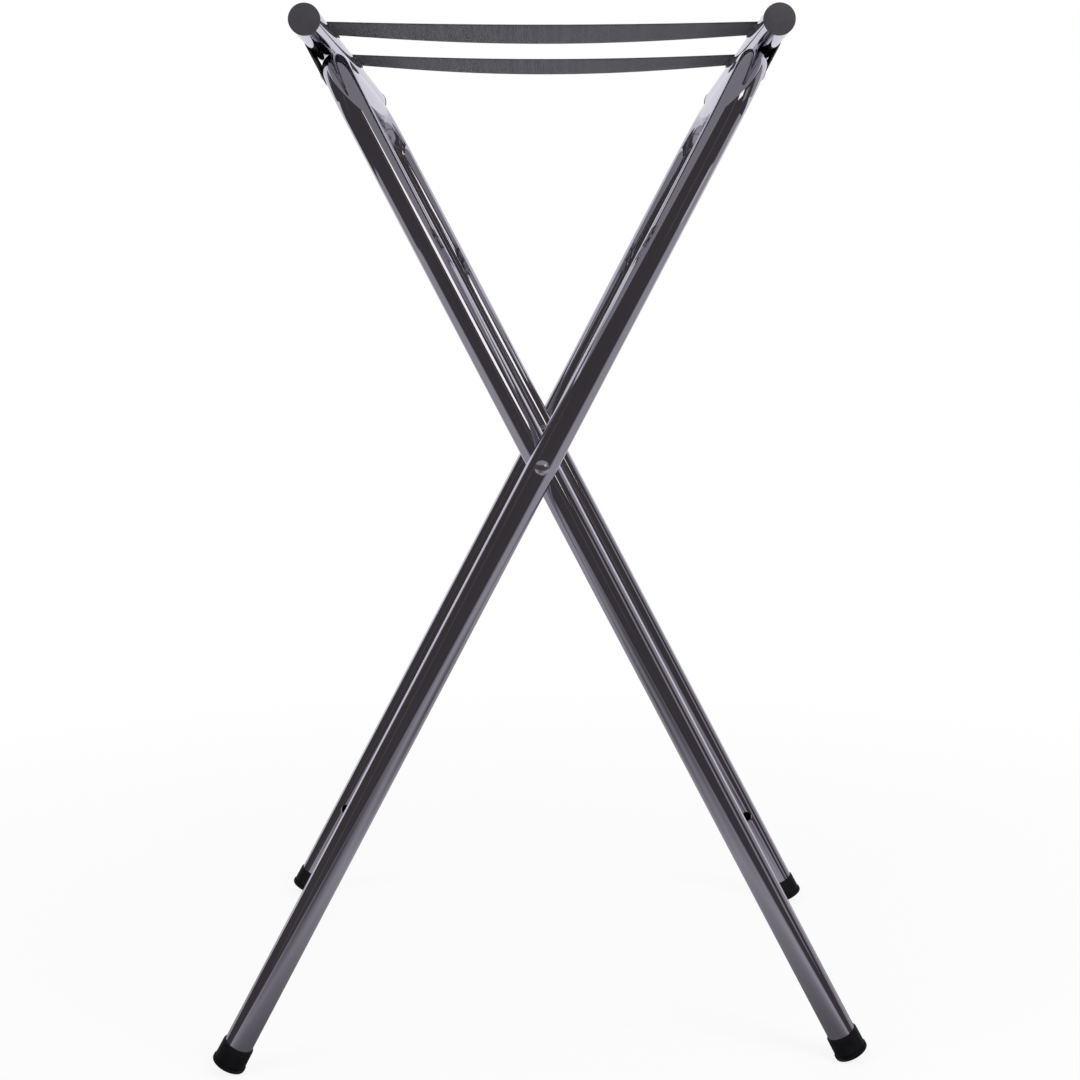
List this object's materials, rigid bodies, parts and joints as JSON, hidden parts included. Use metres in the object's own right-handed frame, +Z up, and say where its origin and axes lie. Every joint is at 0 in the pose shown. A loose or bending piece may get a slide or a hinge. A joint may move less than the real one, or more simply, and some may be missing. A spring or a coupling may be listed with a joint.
{
  "type": "folding tray stand",
  "caption": "Folding tray stand with crossed bent-tube legs, straight top rails, webbing straps between the rails, end plugs and rubber feet.",
  "frame": {"origin": "on the floor, in the middle of the four feet, with the stand open", "axes": "+Z up, X the way the stand folds, Y along the top rails with the pictured front at -Y"},
  "size_m": [0.5004, 0.4884, 0.7933],
  "materials": {
    "chromed_tube": "mirror polished chrome plate on steel tube",
    "cap_plastic": "matte moulded plastic",
    "foot_rubber": "satin moulded rubber",
    "hardware": "bright plated steel",
    "webbing": "woven webbing with fine cross ribs"
  },
  "bodies": {
    "outer_frame": {"outer_leg_frame": "chromed_tube", "outer_top_rail": "chromed_tube", "outer_rail_cap_front": "cap_plastic", "outer_rail_cap_rear": "cap_plastic", "outer_weld_front": "chromed_tube", "outer_weld_middle": "chromed_tube", "outer_weld_rear": "chromed_tube", "outer_foot_front": "foot_rubber", "outer_foot_rear": "foot_rubber", "pivot_bolt_front": "hardware", "pivot_bolt_rear": "hardware", "pivot_spacer_front": "hardware", "pivot_spacer_rear": "hardware", "pivot_washer_front": "hardware", "pivot_washer_rear": "hardware", "pivot_nut_front": "hardware", "pivot_nut_rear": "hardware", "front_strap_outer_half": "webbing", "rear_strap_outer_half": "webbing", "front_strap_outer_rivet_1": "hardware", "front_strap_outer_rivet_2": "hardware", "rear_strap_outer_rivet_1": "hardware", "rear_strap_outer_rivet_2": "hardware"},
    "inner_frame": {"inner_leg_frame": "chromed_tube", "inner_top_rail": "chromed_tube", "inner_rail_cap_front": "cap_plastic", "inner_rail_cap_rear": "cap_plastic", "inner_weld_front": "chromed_tube", "inner_weld_middle": "chromed_tube", "inner_weld_rear": "chromed_tube", "inner_foot_front": "foot_rubber", "inner_foot_rear": "foot_rubber", "front_strap_inner_half": "webbing", "rear_strap_inner_half": "webbing", "front_strap_inner_rivet_1": "hardware", "front_strap_inner_rivet_2": "hardware", "rear_strap_inner_rivet_1": "hardware", "rear_strap_inner_rivet_2": "hardware"}
  },
  "joints": [
    {"name": "fold", "type": "hinge", "parent": "outer_frame", "child": "inner_frame", "pos_m": [0, 0, 0.46165], "axis": [0, 1, 0], "range_deg": [0, 50.5], "deforming": ["front_strap_outer_half", "front_strap_inner_half", "rear_strap_outer_half", "rear_strap_inner_half"]}
  ]
}
